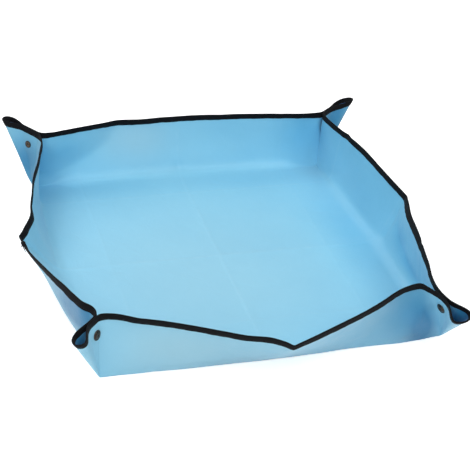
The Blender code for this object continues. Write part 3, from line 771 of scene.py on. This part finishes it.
def turned_piece(name, profile, seat, finish):
    """A profile of (radius, height) turned about the seat's Z. A profile that starts and ends on the
    axis gets a point there at each end, and one that doesn't closes on itself."""
    steps = 56
    profile = np.array(profile) / 1000
    origin, right, up, out = seat
    angle = np.linspace(0, math.tau, steps, endpoint=False)
    spokes = np.cos(angle)[:, None] * right + np.sin(angle)[:, None] * up
    poled = profile[0, 0] == 0
    rings = profile[1:-1] if poled else profile
    points = (origin + rings[:, 0, None, None] * spokes + rings[:, 1, None, None] * out).reshape(-1, 3)
    uv = uv_pairs(angle[None] / math.tau, rings[:, :1])
    faces = ring_quads(len(rings), steps, closed=not poled).tolist()
    if poled:
        first, last = len(points), len(points) + 1
        points = np.concatenate([points, [origin + out * profile[0, 1], origin + out * profile[-1, 1]]])
        uv = np.concatenate([uv, [[0, 0], [0, 0]]])
        a = np.arange(steps)
        b = (a + 1) % steps
        end = (len(rings) - 1) * steps
        faces += np.stack([b, a, np.full(steps, first)], axis=1).tolist()
        faces += np.stack([a + end, b + end, np.full(steps, last)], axis=1).tolist()
    return mesh_object(name, points, faces, finish, uv, smooth_degrees=32)


# Finishes


class Nodes:
    """A node tree whose nodes are made and linked by short calls."""

    def __init__(self, tree):
        self.tree = tree

    def put(self, socket, value):
        """Links a socket to the given one, or sets its value."""
        if isinstance(value, bpy.types.NodeSocket):
            self.tree.links.new(value, socket)
        else:
            socket.default_value = value

    def node(self, kind, values=None, inputs=None):
        node = self.tree.nodes.new(kind)
        for key, value in (values or {}).items():
            setattr(node, key, value)
        for key, value in (inputs or {}).items():
            self.put(node.inputs[key], value)
        return node

    def math(self, operation, a, b=None):
        inputs = {0: a} if b is None else {0: a, 1: b}
        return self.node("ShaderNodeMath", {"operation": operation}, inputs).outputs[0]

    def ranged(self, value, low, high, to_low=0.0, to_high=1.0):
        inputs = {"Value": value, "From Min": low, "From Max": high, "To Min": to_low, "To Max": to_high}
        return self.node("ShaderNodeMapRange", {"clamp": True}, inputs).outputs[0]

    def seen_directly(self):
        """1 for rays from the camera and rays reflected or let through, and 0 for all others."""
        path = self.node("ShaderNodeLightPath").outputs
        seen = self.math("MAXIMUM", path["Is Camera Ray"], path["Is Glossy Ray"])
        return self.math("MAXIMUM", seen, path["Is Transmission Ray"])


class Finish(Nodes):
    """A material with its nodes."""

    def __init__(self, name):
        self.made = bpy.data.materials.new(name)
        self.made.use_nodes = True
        super().__init__(self.made.node_tree)
        self.shader = self.tree.nodes["Principled BSDF"]

    def flat(self):
        """The coordinates of the piece laid flat, in metres."""
        return self.node("ShaderNodeUVMap", {"uv_map": "flat"}).outputs[0]

    def mixed(self, share, a, b):
        inputs = {0: share}
        for key, value in ((6, a), (7, b)):
            inputs[key] = (*value, 1) if isinstance(value, tuple) else value
        return self.node("ShaderNodeMix", {"data_type": "RGBA"}, inputs).outputs[2]

    def noise(self, place, scale, detail=3.0, roughness=0.5, distortion=0.0):
        inputs = {
            "Vector": place, "Scale": scale, "Detail": detail, "Roughness": roughness, "Distortion": distortion
        }
        return self.node("ShaderNodeTexNoise", None, inputs).outputs["Fac"]

    def bands(self, place, direction, period, distortion=0.0):
        """A wave whose crests are a period apart, in metres."""
        inputs = {"Vector": place, "Scale": math.pi / 10 / period, "Distortion": distortion}
        values = {"wave_type": "BANDS", "bands_direction": direction, "wave_profile": "SIN"}
        return self.node("ShaderNodeTexWave", values, inputs).outputs["Fac"]

    def bump(self, height, distance):
        inputs = {"Height": height, "Distance": distance, "Strength": 1.0}
        return self.node("ShaderNodeBump", None, inputs).outputs[0]

    def give(self, **sockets):
        """Sets or links the shader's sockets."""
        for key, value in sockets.items():
            self.put(self.shader.inputs[key.replace("_", " ").title().replace("Ior", "IOR")], value)


def coated_cloth():
    """Sky-blue coated polyester: plain weave under a satin film, faded along its packing creases. The
    attributes painted_light_and_shade and painted_outer_shade carry painted light and shade."""
    f = Finish("sky_blue_coated_cloth")
    uv = f.flat()
    apart = f.node("ShaderNodeSeparateXYZ", None, {0: uv})
    x, y = apart.outputs[0], apart.outputs[1]
    wander = f.math("MULTIPLY", f.math("SUBTRACT", f.noise(uv, 22, 2), 0.5), 0.004)
    ridges = None
    for across, place, slant, strength in worn_lines:
        along, d = (y, x) if across == "x" else (x, y)
        d = f.math("SUBTRACT", f.math("SUBTRACT", d, place), f.math("MULTIPLY", along, slant))
        d = f.math("ABSOLUTE", f.math("ADD", d, wander))
        ridge = f.ranged(d, 0.0, 0.0042, strength, 0.0)
        ridges = ridge if ridges is None else f.math("MAXIMUM", ridges, ridge)
    broken = f.ranged(f.noise(uv, 60, 3, 0.6), 0.35, 0.65)
    faded = f.math("MULTIPLY", ridges, broken)
    clouds = f.noise(uv, 9, 4, 0.55, 0.4)
    specks = f.noise(uv, 420, 2, 0.6)
    base = f.mixed(f.ranged(clouds, 0.3, 0.7), (0.220, 0.565, 0.770), (0.244, 0.597, 0.796))
    base = f.mixed(f.ranged(specks, 0.3, 0.7, 0.0, 0.10), base, (0.27, 0.63, 0.84))
    base = f.mixed(f.math("MULTIPLY", faded, 0.13), base, (0.46, 0.74, 0.90))
    # Painted light and shade: paler towards the first colour above 0, deeper blue below 0, deepest blue below -1
    painted_light_and_shade_amount = f.node("ShaderNodeAttribute", {"attribute_name": "painted_light_and_shade"}).outputs["Fac"]
    base = f.mixed(f.ranged(painted_light_and_shade_amount, 0.0, 1.0), base, (0.44, 0.66, 0.74))
    base = f.mixed(f.ranged(painted_light_and_shade_amount, 0.0, -1.0), base, (0.020, 0.330, 0.620))
    base = f.mixed(f.ranged(painted_light_and_shade_amount, -1.0, -2.0), base, (0.006, 0.070, 0.240))
    # Greyer painted shade on the outer faces
    painted_outer_shade = f.node("ShaderNodeAttribute", {"attribute_name": "painted_outer_shade"}).outputs["Fac"]
    colour = f.mixed(f.ranged(painted_outer_shade, 0.0, 1.0), base, (0.038, 0.240, 0.455))
    warp, weft = (f.bands(uv, direction, 0.00062, 0.4) for direction in "XY")
    weave = f.math("MULTIPLY", f.math("ADD", warp, weft), 0.5)
    crumple = f.noise(uv, 34, 5, 0.55, 0.6)
    height = f.math("ADD", f.math("MULTIPLY", weave, 0.00004), f.math("MULTIPLY", crumple, 0.0011))
    height = f.math("ADD", height, f.math("MULTIPLY", ridges, 0.00022))
    normal = f.bump(height, 1.0)
    film = f.ranged(f.noise(uv, 46, 4, 0.6), 0.3, 0.7, 0.40, 0.56)
    f.give(base_color=colour, roughness=film, normal=normal, sheen_weight=0.16, sheen_roughness=0.5)
    f.give(specular_ior_level=0.34, coat_weight=0.06, coat_roughness=0.35)
    return f.made


def bias_tape():
    """Black polyester tape with fine ribs across it and a soft fibre sheen."""
    f = Finish("black_bias_tape")
    uv = f.flat()
    rib = f.bands(uv, "X", 0.0008, 0.6)
    fine = f.bands(uv, "Y", 0.0005, 0.4)
    worn = f.noise(uv, 90, 4, 0.6)
    height = f.math("ADD", f.math("MULTIPLY", rib, 0.00006), f.math("MULTIPLY", fine, 0.00003))
    colour = f.mixed(f.ranged(worn, 0.35, 0.75), (0.0040, 0.0048, 0.0060), (0.0085, 0.0085, 0.0100))
    f.give(base_color=colour, roughness=f.ranged(worn, 0.3, 0.7, 0.66, 0.86), normal=f.bump(height, 1.0))
    f.give(specular_ior_level=0.07, sheen_weight=0.012, sheen_roughness=0.45)
    return f.made


def sewing_thread():
    """Black sewing thread with its twist."""
    f = Finish("black_sewing_thread")
    uv = f.flat()
    twist = f.bands(uv, "DIAGONAL", 0.0005)
    colour = f.mixed(twist, (0.005, 0.005, 0.007), (0.016, 0.016, 0.019))
    f.give(base_color=colour, roughness=0.6, normal=f.bump(twist, 0.00004), sheen_weight=0.05)
    f.give(specular_ior_level=0.25)
    return f.made


def antique_brass(name, dark, bright):
    """Dark plated brass, brighter where the plating has rubbed, with fine scratches."""
    f = Finish(name)
    place = f.node("ShaderNodeTexCoord").outputs["Object"]
    rubbed = f.noise(place, 900, 4, 0.6)
    blotch = f.noise(place, 260, 3, 0.5)
    uv = f.flat()
    radius = f.node("ShaderNodeSeparateXYZ", None, {0: uv}).outputs[1]
    groove = f.ranged(f.math("ABSOLUTE", f.math("SUBTRACT", radius, 0.0055)), 0.0003, 0.0011)
    dimple = f.ranged(radius, 0.0011, 0.0021)
    share = f.math("MULTIPLY", f.ranged(rubbed, 0.38, 0.66), f.ranged(blotch, 0.35, 0.65, 0.35, 1.0))
    share = f.math("MULTIPLY", share, f.math("MULTIPLY", groove, dimple))
    f.give(base_color=f.mixed(share, dark, bright), metallic=1.0)
    f.give(roughness=f.ranged(rubbed, 0.3, 0.7, 0.26, 0.46), normal=f.bump(rubbed, 0.00008))
    return f.made


cloth = coated_cloth()
tape = bias_tape()
thread = sewing_thread()
cap_metal = antique_brass("antique_brass", (0.024, 0.020, 0.017), (0.150, 0.122, 0.094))
ring_metal = antique_brass("nickel_brass", (0.16, 0.14, 0.12), (0.50, 0.46, 0.40))


def end_name(side, corner):
    """What an end of a side is called beside the side's own name."""
    return corner.replace(side, "").strip("_")


floor_cloth = cloth_piece("floor_cloth", *floor_grid(), cloth)
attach(floor_cloth, "floor")
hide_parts("floor_panel")

for side, shape in sides.items():
    first, last = shape["corners"]
    body = side + "_side"
    outward = outward_of(side)
    points, flat, ears = side_grid(side)
    normals = shaded_normals(points, side)
    points, flat, normals = points[:, 1:], flat[:, 1:], normals[:, 1:]
    wall = slice(ears, ears + len(wall_t))
    crease = len(strip_rows) - 1

    wall_cloth = cloth_piece(side + "_wall_cloth", points[wall], normals[wall], flat[wall], cloth)
    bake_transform(wall_cloth)
    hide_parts(side + "_wall")

    lines = along_edge(points[wall], normals[wall])
    wall_tape = tape_piece(side + "_wall_tape", lines, tape)
    wall_stitches = stitch_row(side + "_wall_stitches", lines, thread)
    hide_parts(side + "_binding")
    on_wall = [wall_tape, wall_stitches]
    if side == "left":
        middle = (len(wall_t) - 1) // 2
        lap_run = lines[2] - lines[2][middle]
        wanted = np.linspace(lap_start, lap_end, 12)
        lap_lines = [resampled(line, lap_run, wanted) for line in lines[:2]] + [wanted - wanted[0]]
        lap = tape_piece("tape_lap", lap_lines, tape, wide=1.22, proud=0.0016, askew=0.0030, past=0.0028)
        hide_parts("binding_lap")
        knot = lap_lines[0][6, 0]
        path = [knot, knot + [-0.003, -0.002, 0.001], knot + [-0.0055, -0.0045, -0.003]]
        tail = thread_end("loose_thread", path, thread)
        on_wall += [lap, tail]
    for piece in on_wall:
        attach(piece, body)

    for corner, sign in ((first, -1), (last, 1)):
        end = end_name(side, corner)
        ear_body = f"{body}_{end}_ear"
        span = slice(0, ears + 1) if sign == -1 else slice(ears + len(wall_t) - 1, None)
        rows = slice(crease + ear_start_row, None)
        ear_arrays = (array[span, rows] for array in (points, normals, flat))
        # Painted shade on the ears' inner faces, deepening towards their tips
        shade = -ear_shade * smooth(ear_w[::sign] / ear_shade_reach)
        ear = cloth_piece(f"{side}_{end}_ear_cloth", *ear_arrays, cloth, shade)
        foot, pinch = corner_point(corner), ear_edge(corner, np.zeros(1), sign)[0]
        into = points[span][:, -1].mean(axis=0) - pinch
        axis = unit(pinch - foot)
        into = unit(into - axis * into.dot(axis))
        lines = along_edge(points[span], normals[span])
        ear_tape = tape_piece(f"{side}_{end}_ear_tape", lines, tape)
        ear_stitches = stitch_row(f"{side}_{end}_ear_stitches", lines, thread)
        for piece in (ear, ear_tape, ear_stitches):
            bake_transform(piece)
        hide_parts(f"{side}_wall_{end}_ear")
        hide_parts(f"{side}_binding_{end}_ear")

        seat = snap_seat(corner, sign)
        kinds = ("cap", "socket") if cap_halves[corner] == sign else ("eyelet", "stud")
        for kind in kinds:
            metal = cap_metal if kind in ("cap", "eyelet") else ring_metal
            snap = turned_piece(f"{corner}_{kind}", snap_profiles[kind], seat, metal)
            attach(snap, ear_body)
            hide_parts(f"snap_{kind}_{corner}")

# Camera, light and ground

scene = bpy.context.scene
camera = bpy.data.objects.new("camera", bpy.data.cameras.new("camera"))
scene.collection.objects.link(camera)
camera_place = (-0.57709, -1.60101, 1.15424)
yaw, pitch, roll = 0.3553, 0.5789, 0.1127
focal_pixels, picture_width, sensor_width = 1340.77, 470, 36
ahead = np.array([math.sin(yaw) * math.cos(pitch), math.cos(yaw) * math.cos(pitch), -math.sin(pitch)])
level = np.array([math.cos(yaw), -math.sin(yaw), 0])
above = np.cross(level, ahead)
right_axis = math.cos(roll) * level + math.sin(roll) * above
up_axis = -math.sin(roll) * level + math.cos(roll) * above
turn = Matrix(np.stack([right_axis, up_axis, -ahead], axis=1).tolist()).to_4x4()
camera.matrix_world = Matrix.Translation(Vector(camera_place)) @ turn
camera.data.sensor_width = sensor_width
camera.data.lens = focal_pixels / picture_width * sensor_width
scene.camera = camera

# Square lamps that face the middle of the mat
lamp_width = 1.6
for name, place, power in (
    ("right_lamp", (1.08, -0.72, 2.25), 28), ("left_lamp", (-1.35, -0.63, 2.10), 22),
    ("front_lamp", (-0.77, -2.12, 1.30), 23), ("back_lamp", (-0.75, 1.60, 1.90), 25),
):
    lamp = bpy.data.lights.new(name, "AREA")
    lamp.size, lamp.energy = lamp_width, power
    made = bpy.data.objects.new(name, lamp)
    scene.collection.objects.link(made)
    made.location = place
    made.rotation_euler = (-Vector(place)).to_track_quat("-Z", "Y").to_euler()

# The world is white where it is seen and dim where it lights
white = (1, 1, 1, 1)
world = bpy.data.worlds.new("studio")
scene.world = world
world.use_nodes = True
sky = Nodes(world.node_tree)
dim_light = sky.tree.nodes["Background"]
sky.put(dim_light.inputs[0], white)
sky.put(dim_light.inputs[1], 0.04)
backdrop = sky.node("ShaderNodeBackground", None, {0: white, 1: 1.0}).outputs[0]
mix = sky.node("ShaderNodeMixShader", None, {0: sky.seen_directly(), 1: dim_light.outputs[0], 2: backdrop})
sky.put(sky.tree.nodes["World Output"].inputs[0], mix.outputs[0])


def pale_ground():
    """White ground. Rays from the camera and reflections see it with a glow added, which rises with the
    distance from the middle, so that it is white where nothing shades it."""
    f = Finish("white_ground")
    place = f.node("ShaderNodeTexCoord").outputs["Object"]
    away = f.node("ShaderNodeVectorMath", {"operation": "LENGTH"}, {0: place}).outputs["Value"]
    glow = f.math("MULTIPLY", f.seen_directly(), f.ranged(away, 0.8, 2.4, 0.62, 1.0))
    f.give(base_color=(0.86, 0.86, 0.86, 1), roughness=0.9, emission_color=white, emission_strength=glow)
    return f.made


reach = 6.0
ground_mesh = bpy.data.meshes.new("ground")
ground_corners = [(-reach, -reach, 0), (reach, -reach, 0), (reach, reach, 0), (-reach, reach, 0)]
ground_mesh.from_pydata(ground_corners, [], [(0, 1, 2, 3)])
ground = bpy.data.objects.new("ground", ground_mesh)
scene.collection.objects.link(ground)
ground_mesh.materials.append(pale_ground())

scene.view_settings.view_transform = "Standard"
